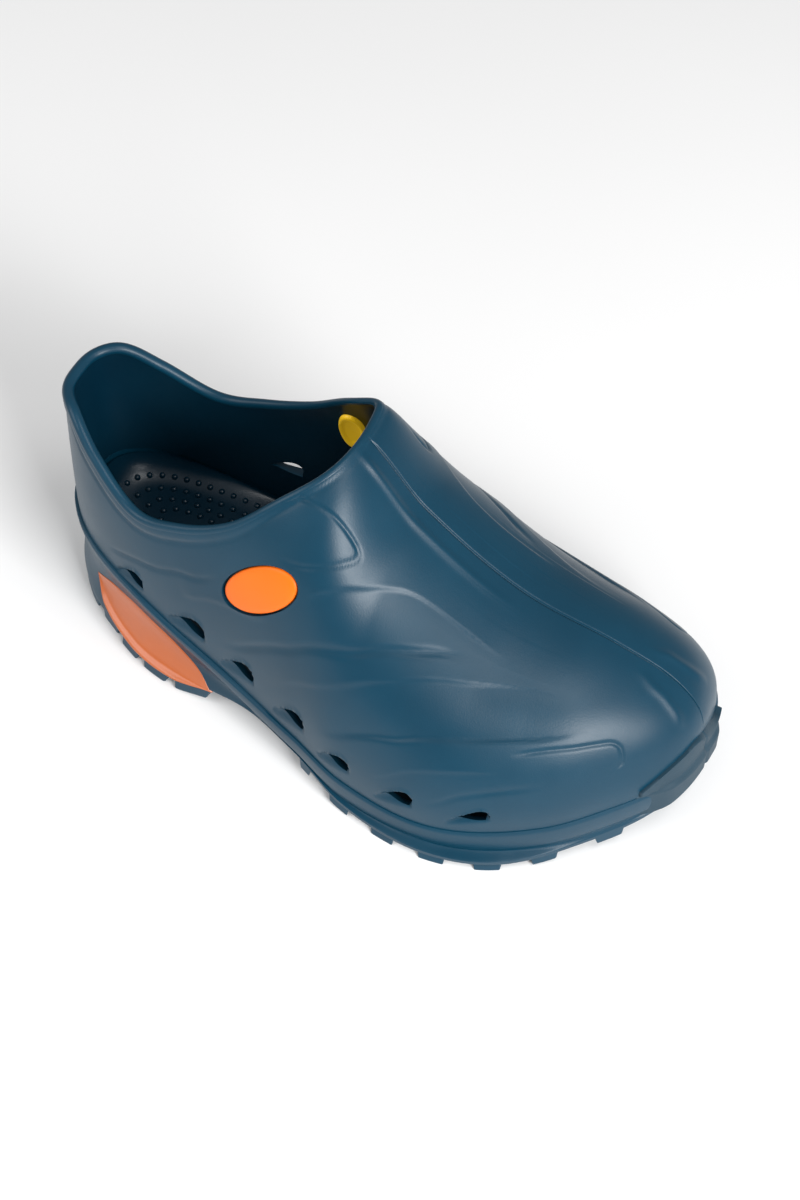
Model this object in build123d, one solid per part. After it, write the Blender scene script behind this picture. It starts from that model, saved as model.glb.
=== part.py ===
from build123d import *
import math
import os

# A right-foot garden clog: a moulded upper shell bonded on a sole unit, with a
# toe bumper, two tread pads, orange heel inserts, ventilation holes, an oval
# plug on each side and a loose insole.
# Millimetres. +X is the toe, +Y the medial side (towards the other foot), +Z up.

# ---------------------------------------------------------------- driving sizes
HALF_LENGTH = 125.0      # half of the last's length, measured at the band line
ARCH_POWER = 2.1         # 2 is an ellipse; a little more makes a squarer shoulder
UPPER_WALL = 4.5
SOLE_FLARE = 1.3         # the sole stands proud of the upper by this much
SOLE_WALL = 5.7
BUMPER_PROUD = 2.8
TREAD_DEPTH = 5.0        # pad and lugs together
TREAD_GROOVE = 3.0
INSOLE_THICK = 4.6
INSOLE_SIDE_GAP = 1.0
INSOLE_UNDER_GAP = 0.3
REACH = 90.0             # half-width of every side-profile tool
PAST_END = 10.0          # how far the tools run past the toe and the heel
BASE_Z = -5.0            # the plan outline's prism starts here
PRISM_HEIGHT = 85.0
MOUTH_TOP = 170.0        # above everything, so the mouth is open upwards

# Sections round the shoe. The angle runs from the toe (0) to the heel (180), and
# the section stands at x = HALF_LENGTH * cos(angle). Columns: lateral fullness,
# medial fullness, centre line y, height of the band line, height of the crest.
SECTIONS = [
    (0, 58.0, 62.0, 0.0, 25.0, 37.0),
    (15, 57.0, 59.0, 2.0, 26.0, 48.0),
    (30, 61.0, 54.5, 2.5, 26.0, 58.0),
    (45, 69.0, 51.0, 1.0, 24.0, 66.5),
    (65, 73.0, 50.0, 0.0, 21.0, 76.0),
    (83, 65.5, 50.0, 2.0, 21.0, 97.0),
    (94, 57.5, 44.5, 3.0, 24.0, 121.5),
    (110, 50.0, 37.5, 2.8, 30.0, 127.0),
    (130, 48.0, 36.0, 2.0, 39.0, 136.0),
    (150, 45.5, 39.5, 1.3, 44.0, 143.0),
    (165, 41.0, 41.0, 0.6, 46.0, 149.0),
    (180, 40.0, 41.0, 0.0, 48.0, 155.0),
]
LATERAL, MEDIAL, CENTRE, BAND, CREST = 1, 2, 3, 4, 5

# Side profiles, as (x, z) points.
COLLAR = [(-125, 102), (-115, 102), (-103, 94), (-82, 83), (-62, 87.5), (-43, 97), (-25, 112), (-8.7, 121.5)]
GROUND = [
    (-125, 7), (-115, 1.5), (-104, 0), (-96, 0), (-70, 0), (-62, 0.4), (-48, 4), (-27, 9), (-8, 6),
    (14, 1), (26, 0), (36, 0), (70, 0), (80, 0), (95, 2), (112, 6), (125, 12),
]
FOOTBED = [(-125, 25), (-60, 22), (0, 15.5), (40, 13), (90, 15), (125, 21)]

# Heights at which the shell is sliced, closer together over the toe box.
LEVELS = [14, 26, 34, 40, 45, 50, 54, 58, 62, 66, 70, 74, 78, 84, 92, 102, 113, 124]
LOOP_STEPS = 14          # spline points from toe to heel on one side of a slice

GROUND_STEP = 5.0        # spacing of the straights that make up the underside

VENT_X = [-85, -58, -34, -11, 12.5, 39.5, 65.5]
VENT_ABOVE_BAND = 5.5
VENT_LENGTH = 6.0
VENT_HEIGHT = 4.4

BADGE_ANGLE = 102.0      # where the badge sits: section angle, share of the arch
BADGE_SHARE = 0.36
BADGE_TILT = 36.0        # its front end stands higher
BADGE_LENGTH = 35.0
BADGE_HEIGHT = 19.0
BADGE_PROUD = 0.8
BADGE_RECESS = 1.8
BADGE_SLACK = 1.2        # the recess is this much longer and higher than the badge
BADGE_REACH = 14.0
NECK_LENGTH = 16.0
NECK_HEIGHT = 8.0
BACKPLATE_LENGTH = 24.0
BACKPLATE_HEIGHT = 14.0
BACKPLATE_THICK = 1.6

INSERT_OUTLINE = [(-109, 20), (-86, 29.5), (-62, 23), (-46, 9.5), (-68, 6.5), (-92, 8)]
INSERT_DEPTH = 3.0

# Each tread: first and last x, lug pitch, groove width, slant of the cross grooves in degrees.
HEEL_TREAD = (-130.0, -50.0, 13.0, 4.5, -12.0)
FOREFOOT_TREAD = (0.0, 130.0, 19.0, 6.0, 14.0)

# The toe bumper's upper edge seen from the side, x measured from the toe.
BUMPER_TOP = [(-15, 26), (-11, 32), (-3, 38), (8, 40)]


# ------------------------------------------------------------------- the shape
def blend(knots, at):
    """Height of a smooth curve through the knots: cubic Hermite, central slopes."""
    at = min(max(at, knots[0][0]), knots[-1][0])
    last = len(knots) - 1
    i = 0
    while i < last - 1 and knots[i + 1][0] <= at:
        i += 1

    def slope(k):
        lo, hi = max(k - 1, 0), min(k + 1, last)
        return (knots[hi][1] - knots[lo][1]) / (knots[hi][0] - knots[lo][0])

    (x0, y0), (x1, y1) = knots[i], knots[i + 1]
    step = x1 - x0
    u = (at - x0) / step
    return (
        y0 * (1 + 2 * u) * (1 - u) ** 2
        + slope(i) * step * u * (1 - u) ** 2
        + y1 * u * u * (3 - 2 * u)
        + slope(i + 1) * step * u * u * (u - 1)
    )


def column(which, angle):
    return blend([(row[0], row[which]) for row in SECTIONS], angle)


def half_width(angle, side, grow=0.0):
    """Half-width at the band line; the fullness tapers to nothing at toe and heel."""
    sine = math.sin(math.radians(angle))
    if side < 0:
        return (column(LATERAL, angle) + grow) * sine ** (0.80 if angle < 90 else 0.72)
    return (column(MEDIAL, angle) + grow) * sine ** (0.62 if angle < 90 else 0.72)


def shell_point(angle, rise, side, grow=0.0):
    """A point of the shell; rise is 0 at the band line and 1 on the crest."""
    centre = column(CENTRE, angle)
    reach = half_width(angle, side, grow) + (centre if side < 0 else -centre)
    inward = (1 - min(rise, 1.0) ** ARCH_POWER) ** (1 / ARCH_POWER)
    band, crest = column(BAND, angle), column(CREST, angle) + grow
    x = (HALF_LENGTH + grow) * math.cos(math.radians(angle))
    return (x, centre + side * reach * inward, band + (crest - band) * rise)


def front_angle(z, grow):
    """The first section whose crest reaches height z."""
    if column(CREST, 0) + grow >= z:
        return 0.0
    low, high = 0.0, 179.0
    for _ in range(40):
        middle = (low + high) / 2
        if column(CREST, middle) + grow < z:
            low = middle
        else:
            high = middle
    return high


def closed_face(points, z):
    """A flat face at height z inside a smooth closed curve."""
    ring = Spline(*[(x, y, z) for x, y in points], periodic=True)
    return Face(Wire([ring]))


def slice_points(z, grow, widths):
    """Plan points of one slice, round from the toe by the lateral side."""
    start = front_angle(z, grow)
    sweep = [start + (180 - start) * (1 - math.cos(math.pi * i / LOOP_STEPS)) / 2 for i in range(LOOP_STEPS + 1)]
    lateral = [widths(angle, -1) for angle in sweep]
    medial = [widths(angle, 1) for angle in sweep[1:-1]]
    return lateral + medial[::-1]


def shell_solid(grow):
    """The closed form of the upper, swollen or shrunk by grow."""
    faces = []
    for z in LEVELS:
        def widths(angle, side, z=z):
            band, crest = column(BAND, angle), column(CREST, angle) + grow
            rise = max(0.0, (z - band) / (crest - band))
            x, y, _ = shell_point(angle, rise, side, grow)
            return (x, y)

        faces.append(closed_face(slice_points(z, grow, widths), z))
    return loft(faces, ruled=True)


def sole_prism(grow):
    """The sole's plan outline as a tall prism."""
    def widths(angle, side):
        x = (HALF_LENGTH + grow) * math.cos(math.radians(angle))
        return (x, side * half_width(angle, side, grow))

    face = closed_face(slice_points(BASE_Z, grow, widths), BASE_Z)
    return extrude(face, amount=PRISM_HEIGHT, dir=(0, 0, 1))


def smooth(points):
    return Spline(*points)


def side_tool(lower, upper):
    """A side profile between two edges, each running heel to toe, pushed right through the shoe."""
    edges = [lower, upper, Line(lower @ 0, upper @ 0), Line(lower @ 1, upper @ 1)]
    profile = Plane.XZ * make_face(Curve() + edges)
    return extrude(profile, amount=REACH, both=True)


def along(curve, low, high, step, lift=0.0):
    """Points of a profile curve from low to high, raised by lift."""
    count = max(2, round((high - low) / step))
    xs = [low + (high - low) * i / count for i in range(count + 1)]
    return [(x, blend(curve, x) + lift) for x in xs]


def band_line():
    """The band line seen from the side, heel to toe, carried past both ends."""
    angles = range(168, 0, -12)
    line = [(HALF_LENGTH * math.cos(math.radians(a)), column(BAND, a)) for a in angles]
    heel = (-HALF_LENGTH - PAST_END, column(BAND, 180) + 1)
    toe = (HALF_LENGTH + PAST_END, column(BAND, 0) - 1)
    return smooth([heel] + line + [toe])


def beyond(z):
    """A level line past both ends of the shoe."""
    return Line((-HALF_LENGTH - PAST_END, z), (HALF_LENGTH + PAST_END, z))


def ground_line(low, high, lift):
    """The underside's profile: flat where it stands, and in short straights elsewhere."""
    return Polyline(*[(x, max(0.0, z) + lift) for x, z in along(GROUND, low, high, GROUND_STEP)])


def footbed_line(lift=0.0):
    return smooth(along(FOOTBED, -HALF_LENGTH, HALF_LENGTH, 25, lift))


def surface_plane(angle, share, side):
    """The tangent plane of the shell: +Z outwards, +X along the shoe."""
    rise = math.sin(share * math.pi / 2) ** (2 / ARCH_POWER)
    raised = math.sin((share + 0.02) * math.pi / 2) ** (2 / ARCH_POWER)
    here = Vector(*shell_point(angle, rise, side))
    forward = Vector(*shell_point(angle - 1, rise, side)) - here
    upward = Vector(*shell_point(angle, raised, side)) - here
    normal = upward.cross(forward) if side < 0 else forward.cross(upward)
    if normal.Y * side < 0:
        normal = normal * -1
    level = Vector(normal.Y, -normal.X, 0)
    if level.X < 0:
        level = level * -1
    plane = Plane(origin=here, x_dir=level, z_dir=normal)
    return plane.rotated((0, 0, BADGE_TILT if side < 0 else -BADGE_TILT))


# ------------------------------------------------------------------ the pieces
def make_upper(outer, inner, recess_floor, badge_planes):
    throat_x, throat_z = COLLAR[-1]
    heel = (-HALF_LENGTH - PAST_END, COLLAR[0][1])
    collar = smooth([heel] + along(COLLAR, -HALF_LENGTH, throat_x, 10))
    mouth = side_tool(collar, Line((heel[0], MOUTH_TOP), (throat_x, MOUTH_TOP)))
    upper = outer - inner - mouth - side_tool(beyond(0), band_line())
    for x in VENT_X:
        angle = math.degrees(math.acos(x / HALF_LENGTH))
        height = column(BAND, angle) + VENT_ABOVE_BAND
        shape = Plane.XZ * Pos(x, height) * SlotOverall(VENT_LENGTH, VENT_HEIGHT)
        upper -= extrude(shape, amount=REACH, both=True)
    for plane in badge_planes:
        upper -= oval_prism(plane, BADGE_LENGTH + BADGE_SLACK, BADGE_HEIGHT + BADGE_SLACK) - recess_floor
        upper -= oval_prism(plane, NECK_LENGTH, NECK_HEIGHT)
    return upper


def make_sole_block(prism):
    """Everything between the treads and the band line, before the foot's hollow is cut."""
    underside = ground_line(-HALF_LENGTH - GROUND_STEP, HALF_LENGTH + GROUND_STEP, TREAD_DEPTH)
    return prism & side_tool(underside, band_line())


def make_sole(block, hollow_prism, inserts):
    sole = block - (hollow_prism & side_tool(footbed_line(), beyond(PRISM_HEIGHT)))
    for insert in inserts:
        sole -= insert
    return sole


def make_tread(prism, tread):
    low, high, pitch, groove_width, slant = tread
    pad = prism & side_tool(ground_line(low, high, 0), ground_line(low, high, TREAD_DEPTH))
    tall = 2 * REACH
    cuts = Pos((low + high) / 2, 0, 0) * Box(high - low, groove_width, tall)
    for i in range(1, int((high - low) / pitch) + 1):
        for side in (-1, 1):
            bar = Pos(0, side * REACH / 2, 0) * Box(groove_width, REACH, tall)
            cuts += Pos(low + pitch * i, 0, 0) * Rot(0, 0, slant * side) * bar
    groove_tops = ground_line(low - 4 * GROUND_STEP, high + 4 * GROUND_STEP, TREAD_GROOVE)
    return pad - (cuts & side_tool(beyond(BASE_Z - PAST_END), groove_tops))


def make_bumper(grown, outer, prism):
    top = smooth([(HALF_LENGTH + x, z) for x, z in BUMPER_TOP])
    under = ground_line(HALF_LENGTH + BUMPER_TOP[0][0], HALF_LENGTH + BUMPER_TOP[-1][0], TREAD_DEPTH)
    return (grown & side_tool(under, top)) - outer - prism


def make_insert(block, deep_prism, side):
    lens = make_face(Spline(*INSERT_OUTLINE, periodic=True))
    return (block & extrude(Plane.XZ * lens, amount=-side * REACH)) - deep_prism


def oval_prism(plane, length, height):
    """An oval prism through one wall of the shell, square to it."""
    return plane * extrude(Ellipse(length / 2, height / 2), amount=BADGE_REACH, both=True)


def make_badge(plane, cap, recess_floor, inner):
    head = (oval_prism(plane, BADGE_LENGTH, BADGE_HEIGHT) & cap) - recess_floor
    neck = (oval_prism(plane, NECK_LENGTH, NECK_HEIGHT) & recess_floor) - inner
    return head + neck


def make_backplate(plane, inner, plate_face):
    return (oval_prism(plane, BACKPLATE_LENGTH, BACKPLATE_HEIGHT) & inner) - plate_face


def make_insole(outline_prism):
    return outline_prism & side_tool(footbed_line(INSOLE_UNDER_GAP), footbed_line(INSOLE_UNDER_GAP + INSOLE_THICK))


def build():
    outer = shell_solid(0.0)
    inner = shell_solid(-UPPER_WALL)
    grown = shell_solid(BUMPER_PROUD)
    cap = shell_solid(BADGE_PROUD)
    recess_floor = shell_solid(-BADGE_RECESS)
    plate_face = shell_solid(-UPPER_WALL - BACKPLATE_THICK)
    prism = sole_prism(SOLE_FLARE)
    cavity = sole_prism(-SOLE_WALL)
    deep = sole_prism(SOLE_FLARE - INSERT_DEPTH)
    insole_outline = sole_prism(-SOLE_WALL - INSOLE_SIDE_GAP)

    sides = {"lateral": -1, "medial": 1}
    planes = {name: surface_plane(BADGE_ANGLE, BADGE_SHARE, side) for name, side in sides.items()}
    block = make_sole_block(prism)
    inserts = {name: make_insert(block, deep, side) for name, side in sides.items()}

    parts = {
        "upper_shell": make_upper(outer, inner, recess_floor, planes.values()),
        "sole_unit": make_sole(block, cavity, inserts.values()),
        "heel_tread": make_tread(prism, HEEL_TREAD),
        "forefoot_tread": make_tread(prism, FOREFOOT_TREAD),
        "toe_bumper": make_bumper(grown, outer, prism),
        "insole": make_insole(insole_outline),
    }
    for name in sides:
        parts["heel_insert_" + name] = inserts[name]
        parts["badge_" + name] = make_badge(planes[name], cap, recess_floor, inner)
        parts["badge_backplate_" + name] = make_backplate(planes[name], inner, plate_face)
    return parts


def main():
    parts = build()
    box = Compound(list(parts.values())).bounding_box()
    centre = box.center()
    to_origin = Pos(-centre.X, -centre.Y, -box.min.Z)
    os.makedirs("parts", exist_ok=True)
    for name, part in parts.items():
        export_step(to_origin * part, "parts/" + name + ".step")


main()
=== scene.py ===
import math

import bmesh
import bpy
import numpy as np
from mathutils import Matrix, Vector


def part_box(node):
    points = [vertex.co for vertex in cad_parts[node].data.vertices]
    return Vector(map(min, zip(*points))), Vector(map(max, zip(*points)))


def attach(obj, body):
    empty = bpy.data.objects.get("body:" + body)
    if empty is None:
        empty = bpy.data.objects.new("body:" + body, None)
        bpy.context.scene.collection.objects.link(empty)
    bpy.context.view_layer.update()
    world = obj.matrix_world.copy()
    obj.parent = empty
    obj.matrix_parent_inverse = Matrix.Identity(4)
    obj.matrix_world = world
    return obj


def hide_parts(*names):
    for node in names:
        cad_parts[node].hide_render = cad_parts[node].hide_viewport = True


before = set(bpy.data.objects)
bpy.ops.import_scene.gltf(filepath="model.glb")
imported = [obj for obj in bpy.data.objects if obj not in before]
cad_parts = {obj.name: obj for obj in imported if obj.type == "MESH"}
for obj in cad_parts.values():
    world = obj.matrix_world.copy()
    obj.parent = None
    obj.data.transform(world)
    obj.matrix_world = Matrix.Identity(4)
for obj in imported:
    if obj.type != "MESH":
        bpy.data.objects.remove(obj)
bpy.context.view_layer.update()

# Lengths are in millimetres until a mesh is made. +X is the toe, -Y the lateral side.

# ---- driving sizes
HALF_LENGTH = 125.0
ARCH_POWER = 2.1
WALL = 4.5
SOLE_FLARE = 1.3
SOLE_WALL = 5.7
TREAD_DEPTH = 5.0
THROAT = 94.0            # section angle where the collar meets the crest
LIP_RISE = 2.0           # the lip's round stands this far above the wall's cut edge

# Section angle, lateral fullness, medial fullness, centre y, band height, crest height.
SECTIONS = np.array([
    (0, 58.0, 62.0, 0.0, 25.0, 37.0),
    (15, 57.0, 59.0, 2.0, 26.0, 48.0),
    (30, 61.0, 54.5, 2.5, 26.0, 58.0),
    (45, 69.0, 51.0, 1.0, 24.0, 66.5),
    (65, 73.0, 50.0, 0.0, 21.0, 76.0),
    (83, 65.5, 50.0, 2.0, 21.0, 97.0),
    (94, 57.5, 44.5, 3.0, 24.0, 121.5),
    (110, 50.0, 37.5, 2.8, 30.0, 127.0),
    (130, 48.0, 36.0, 2.0, 39.0, 136.0),
    (150, 45.5, 39.5, 1.3, 44.0, 143.0),
    (165, 41.0, 41.0, 0.6, 46.0, 149.0),
    (180, 40.0, 41.0, 0.0, 48.0, 155.0),
])
LATERAL, MEDIAL, CENTRE, BAND, CREST = 1, 2, 3, 4, 5

# Side profiles, as (x, z) points.
COLLAR = [
    (-125, 102), (-115, 102), (-103, 94), (-82, 83), (-62, 87.5), (-43, 97), (-25, 112),
    (-8.7, 121.5),
]
GROUND = [
    (-125, 7), (-115, 1.5), (-104, 0), (-96, 0), (-70, 0), (-62, 0.4), (-48, 4), (-27, 9), (-8, 6),
    (14, 1), (26, 0), (36, 0), (70, 0), (80, 0), (95, 2), (112, 6), (125, 12),
]
FOOTBED = [(-125, 25), (-60, 22), (0, 15.5), (40, 13), (90, 15), (125, 21)]
# The visible seam runs this far below the band line.
SEAM_DROP = [
    (-125, 0), (-85, 0), (-55, 2.6), (-25, 4), (20, 4.5), (60, 4.2), (90, 3.4), (107, 1.6),
    (118, 0), (125, 0),
]
# Height of the smooth strip under the seam.
STRIP = [
    (-125, 3), (-80, 2.8), (-52, 4.2), (-33, 5.6), (0, 8.6), (20, 9.2), (44, 8.4), (60, 9.8),
    (82, 11), (125, 10),
]
# How far the strip stands out.
FLARE = [(-125, 0.9), (-95, 1.2), (-40, 1.2), (0, 0.8), (125, 0.7)]
# How far the lowest edge stands out from the band line's outline.
SPREAD = [
    (-125, 1.3), (-105, 1.6), (-90, 2.6), (-78, 3.9), (-64, 3.9), (-48, 1.6), (0, 1.3), (13, 2.2),
    (28, 3.2), (50, 4.2), (70, 4.8), (84, 3.4), (95, 1.8), (105, 1.3), (125, 1.3),
]
SHARP_ANGLE = 50.0       # edges bent more than this are shaded sharp
SHARE_MM = 95.0          # about how many millimetres one whole share of the arch measures


# ---- the shoe's form
def blend(knots, at):
    """Heights of a smooth curve through the knots: cubic Hermite, central slopes."""
    knots = np.asarray(knots, float)
    x, y = knots[:, 0], knots[:, 1]
    at = np.clip(np.asarray(at, float), x[0], x[-1])
    last = len(x) - 1
    lower = np.maximum(np.arange(last + 1) - 1, 0)
    upper = np.minimum(np.arange(last + 1) + 1, last)
    slope = (y[upper] - y[lower]) / (x[upper] - x[lower])
    i = np.clip(np.searchsorted(x, at, side="right") - 1, 0, last - 1)
    step = x[i + 1] - x[i]
    u = (at - x[i]) / step
    return (
        y[i] * (1 + 2 * u) * (1 - u) ** 2
        + slope[i] * step * u * (1 - u) ** 2
        + y[i + 1] * u * u * (3 - 2 * u)
        + slope[i + 1] * step * u * u * (u - 1)
    )


def column(which, angle):
    return blend(SECTIONS[:, [0, which]], angle)


def half_width(angle, side, grow=0.0):
    """Half-width at the band line; the fullness tapers to nothing at toe and heel."""
    angle = np.asarray(angle, float)
    sine = np.clip(np.sin(np.radians(angle)), 0, 1)
    front = 0.80 if side < 0 else 0.62
    fullness = column(LATERAL if side < 0 else MEDIAL, angle) + grow
    return fullness * sine ** np.where(angle < 90, front, 0.72)


def shell(angle, share, side, grow=0.0):
    """Points of the shell; share is 0 at the band line, 1 on the crest and upright below 0."""
    angle, share = np.broadcast_arrays(np.asarray(angle, float), np.asarray(share, float))
    below = np.minimum(share, 0) * SHARE_MM
    quarter = share * math.pi / 2
    inward = np.clip(np.cos(quarter), 0, 1) ** (2 / ARCH_POWER)
    rise = np.clip(np.sin(quarter), 0, 1) ** (2 / ARCH_POWER)
    centre = column(CENTRE, angle)
    reach = half_width(angle, side, grow) - side * centre
    band, crest = column(BAND, angle), column(CREST, angle) + grow
    x = (HALF_LENGTH + grow) * np.cos(np.radians(angle))
    return np.stack([x, centre + side * reach * inward, band + (crest - band) * rise + below], -1)


def seam(angle):
    """Height of the seam between the upper and the sole."""
    return column(BAND, angle) - blend(SEAM_DROP, HALF_LENGTH * np.cos(np.radians(angle)))


def angle_at(x):
    return np.degrees(np.arccos(np.clip(np.asarray(x, float) / HALF_LENGTH, -1, 1)))


def sole_edge(angle, side, grow):
    """Plan points of the sole's edge."""
    angle = np.asarray(angle, float)
    x = (HALF_LENGTH + grow) * np.cos(np.radians(angle))
    return np.stack([x, side * half_width(angle, side, grow)], -1)


# The frame puts the middle of the clog's box at the origin; these carry the form there.
edge_angles = np.linspace(0, 180, 721)
SHIFT_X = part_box("upper_shell")[0][0] * 1000 + HALF_LENGTH
SHIFT_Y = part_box("sole_unit")[0][1] * 1000 + half_width(edge_angles, -1, SOLE_FLARE).max()
SHIFT = np.array([SHIFT_X, SHIFT_Y, 0.0])


# ---- mesh helpers
def step(low, high, value):
    """A smooth ramp from 0 at low to 1 at high."""
    u = np.clip((value - low) / (high - low), 0, 1)
    return u * u * (3 - 2 * u)


def unit(v):
    return v / np.maximum(np.linalg.norm(v, axis=-1, keepdims=True), 1e-9)


def grid_quads(index):
    """Quads over a 2-D array of vertex numbers."""
    a, b = index[:-1, :-1].ravel(), index[1:, :-1].ravel()
    c, d = index[1:, 1:].ravel(), index[:-1, 1:].ravel()
    return np.stack([a, b, c, d], 1)


def add_mesh(name, points, faces, material, weld=0.002, inside_shade=None):
    """A smooth mesh object from points in millimetres; points closer than weld are joined.

    The last argument gives a second material, a darker navy that paints shade on the faces inside the
    shoe, and the first and last of the faces that take it."""
    mesh = bpy.data.meshes.new(name)
    mesh.from_pydata(((points + SHIFT) * 0.001).tolist(), [], faces)
    mesh.materials.append(material)
    if inside_shade:
        mesh.materials.append(inside_shade[0])
        numbers = np.zeros(len(mesh.polygons), int)
        numbers[inside_shade[1]:inside_shade[2]] = 1
        mesh.polygons.foreach_set("material_index", numbers)
    piece = bpy.data.objects.new(name, mesh)
    bpy.context.collection.objects.link(piece)
    if weld:
        add = piece.modifiers.new("weld", "WELD")
        add.merge_threshold = weld * 0.001
        apply_modifiers(piece)
    mesh = piece.data
    mesh.polygons.foreach_set("use_smooth", [True] * len(mesh.polygons))
    outward_faces(piece)
    mesh.set_sharp_from_angle(angle=math.radians(SHARP_ANGLE))
    return piece


def apply_modifiers(piece):
    graph = bpy.context.evaluated_depsgraph_get()
    done = bpy.data.meshes.new_from_object(piece.evaluated_get(graph))
    piece.modifiers.clear()
    old = piece.data
    piece.data = done
    bpy.data.meshes.remove(old)


def discard(piece):
    mesh = piece.data
    bpy.data.objects.remove(piece)
    bpy.data.meshes.remove(mesh)


def outward_faces(piece):
    work = bmesh.new()
    work.from_mesh(piece.data)
    bmesh.ops.recalc_face_normals(work, faces=work.faces)
    work.to_mesh(piece.data)
    work.free()


# ---- materials
CLOUD_MM = 45.0          # size of the slow changes of colour
PATCH_MM = 12.0          # size of the patches that differ in sheen
FLOOR_CLOUD_MM = 400.0
TONE_RANGE = (0.35, 0.65)
BUMP_STRENGTH = 0.8


def new_material(name, roughness):
    material = bpy.data.materials.new(name)
    material.use_nodes = True
    shader = material.node_tree.nodes["Principled BSDF"]
    shader.inputs["Roughness"].default_value = roughness
    return material, material.node_tree, shader


def noise(tree, size_mm, detail=3.0, roughness=0.55):
    """A noise texture whose blobs are about size_mm across."""
    place = tree.nodes.new("ShaderNodeTexCoord")
    texture = tree.nodes.new("ShaderNodeTexNoise")
    texture.inputs["Scale"].default_value = 1000.0 / size_mm
    texture.inputs["Detail"].default_value = detail
    texture.inputs["Roughness"].default_value = roughness
    tree.links.new(place.outputs["Object"], texture.inputs["Vector"])
    return texture.outputs["Fac"]


def two_tones(tree, factor, dark, light):
    ramp = tree.nodes.new("ShaderNodeValToRGB")
    for element, position, colour in zip(ramp.color_ramp.elements, TONE_RANGE, (dark, light)):
        element.position = position
        element.color = (*colour, 1)
    tree.links.new(factor, ramp.inputs["Fac"])
    return ramp.outputs["Color"]


def add_bump(tree, shader, height, distance_mm):
    bump = tree.nodes.new("ShaderNodeBump")
    bump.inputs["Distance"].default_value = distance_mm * 0.001
    bump.inputs["Strength"].default_value = BUMP_STRENGTH
    tree.links.new(height, bump.inputs["Height"])
    tree.links.new(bump.outputs["Normal"], shader.inputs["Normal"])


def rough_range(tree, shader, factor, low, high):
    spread = tree.nodes.new("ShaderNodeMapRange")
    spread.inputs["To Min"].default_value = low
    spread.inputs["To Max"].default_value = high
    tree.links.new(factor, spread.inputs["Value"])
    tree.links.new(spread.outputs["Result"], shader.inputs["Roughness"])


def moulded_rubber(name, dark, light, roughness, grain_mm=0.55, grain_depth=0.05, specular=0.5,
                   painted_glow=0.0):
    """Foam rubber: an even colour with slow clouds, a fine moulded grain and a soft sheen.

    The glow argument is painted light: an emission that makes the part shine, standing in for the light
    that a thin translucent part passes through."""
    material, tree, shader = new_material(name, roughness)
    clouds = noise(tree, CLOUD_MM, 4.0)
    tree.links.new(two_tones(tree, clouds, dark, light), shader.inputs["Base Color"])
    patches = noise(tree, PATCH_MM, 4.0)
    rough_range(tree, shader, patches, roughness - 0.05, roughness + 0.06)
    add_bump(tree, shader, noise(tree, grain_mm, 3.0, 0.6), grain_depth)
    shader.inputs["Specular IOR Level"].default_value = specular
    shader.inputs["Emission Color"].default_value = (*light, 1)
    shader.inputs["Emission Strength"].default_value = painted_glow
    return material


NAVY = moulded_rubber(
    "navy_rubber", (0.001, 0.033, 0.063), (0.0015, 0.039, 0.073), 0.36, specular=0.33)
# Painted shade: a darker copy of the navy for the inside of the shoe, used on the upper's inner skin and
# on the insole.
NAVY_PAINTED_SHADE = moulded_rubber(
    "navy_painted_shade", (0.0008, 0.017, 0.034), (0.0012, 0.022, 0.042), 0.31, specular=0.45)
GUARD = moulded_rubber(
    "guard_rubber", (0.0025, 0.028, 0.050), (0.003, 0.033, 0.058), 0.55, 0.9, 0.16)
TREAD = moulded_rubber(
    "tread_rubber", (0.001, 0.035, 0.066), (0.0015, 0.041, 0.077), 0.44, 0.8, 0.06)
ORANGE = moulded_rubber(
    "orange_rubber", (0.47, 0.105, 0.019), (0.52, 0.118, 0.023), 0.30, 0.6, 0.03, specular=0.7)
PLUG_ORANGE = moulded_rubber(
    "orange_plug", (0.92, 0.150, 0.003), (0.97, 0.168, 0.004), 0.42, 0.7, 0.02, specular=0.3)
# Painted light: the amber plate gets a faint emission so that it shines in the shade inside the shoe.
AMBER = moulded_rubber(
    "amber_plate", (0.95, 0.55, 0.012), (1.0, 0.62, 0.02), 0.3, 0.8, 0.02, painted_glow=0.22)


# ---- the upper
# Relief lines as (x, share of the arch) points. The same leaves are on both sides.
LEAF_TIP = [
    (-42, 0.60), (-30, 0.64), (-18, 0.685), (-6, 0.708), (3, 0.708), (4.5, 0.69), (2, 0.64),
    (-3, 0.575), (-8, 0.53), (-14, 0.497), (-22, 0.475),
]
SWEEP_HIGH = [
    (-9, 0.415), (-4, 0.487), (0, 0.533), (4, 0.585), (9, 0.64), (15, 0.70), (23, 0.752),
    (33, 0.772), (46, 0.772), (60, 0.76),
]
SWEEP_MIDDLE = [
    (-42, 0.075), (-34, 0.115), (-26, 0.165), (-18, 0.215), (-10, 0.262), (0, 0.345), (8, 0.415),
    (15.5, 0.48), (23, 0.546), (32, 0.61), (41, 0.668), (51, 0.705),
]
RIDGE = [
    (-24, 0.05), (-14, 0.128), (-6, 0.187), (1, 0.239), (6.5, 0.29), (12.5, 0.35), (20, 0.42),
    (27.5, 0.48), (35, 0.54), (42.5, 0.59), (50, 0.627), (60, 0.67), (68, 0.692), (77, 0.703),
    (87, 0.695),
]
LEAF_LOW = [
    (4, 0.09), (12, 0.15), (20, 0.213), (27.5, 0.265), (35, 0.31), (42.5, 0.363), (51.5, 0.409),
    (61, 0.448), (70, 0.48), (80, 0.507), (87.5, 0.54), (92, 0.575),
]
TOE_RIDGE = [
    (97, 0.93), (102.7, 0.912), (106, 0.885), (111, 0.86), (116, 0.807), (119, 0.74), (120.5, 0.68),
]
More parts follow.
